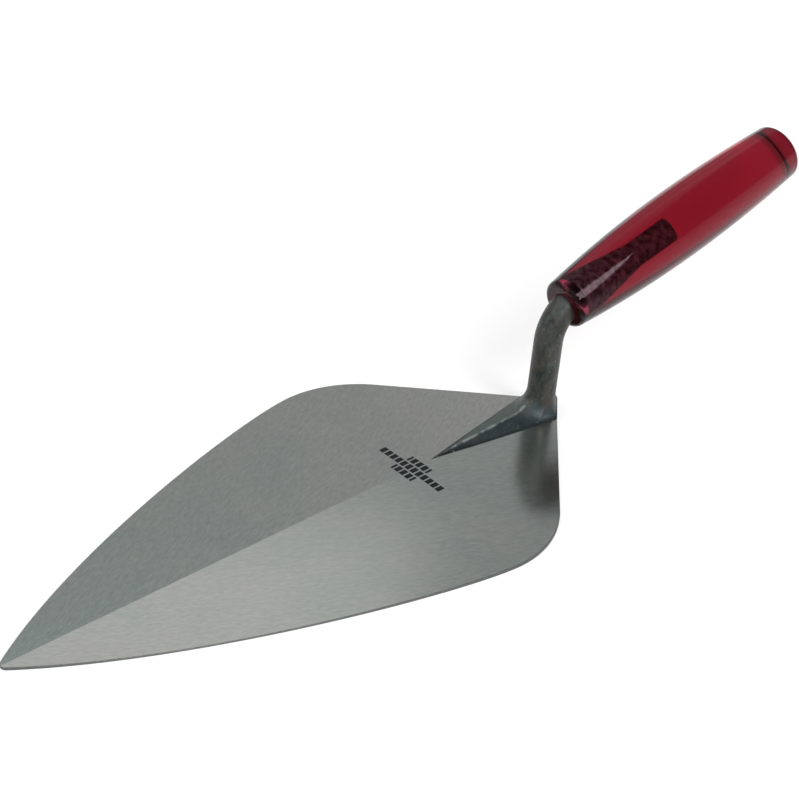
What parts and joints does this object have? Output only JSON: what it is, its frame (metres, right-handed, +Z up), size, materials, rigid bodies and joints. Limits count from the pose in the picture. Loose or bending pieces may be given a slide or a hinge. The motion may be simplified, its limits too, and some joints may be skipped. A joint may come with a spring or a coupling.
{
  "type": "brick trowel",
  "caption": "Diamond-heeled brick trowel: pointed steel blade, forged cranked shank, turned clear red plastic handle.",
  "frame": {"origin": "on the blade's flat underside, below the centreline of the shank's neck", "axes": "+X along the blade to its toe, +Y to the left, +Z up away from the underside; the handle rises to the rear, over -X"},
  "size_m": [0.4096, 0.1396, 0.0969],
  "materials": {
    "ground_steel": "ground and lightly brushed, unplated",
    "forged_steel": "dark forge scale with a few rubbed spots",
    "red_plastic": "clear ruby red, polished",
    "tang_cement": "dark, mottled and scorched"
  },
  "bodies": {
    "root": {"blade": "ground_steel", "shank": "forged_steel", "handle": "red_plastic", "tang_cement": "tang_cement"}
  },
  "joints": []
}
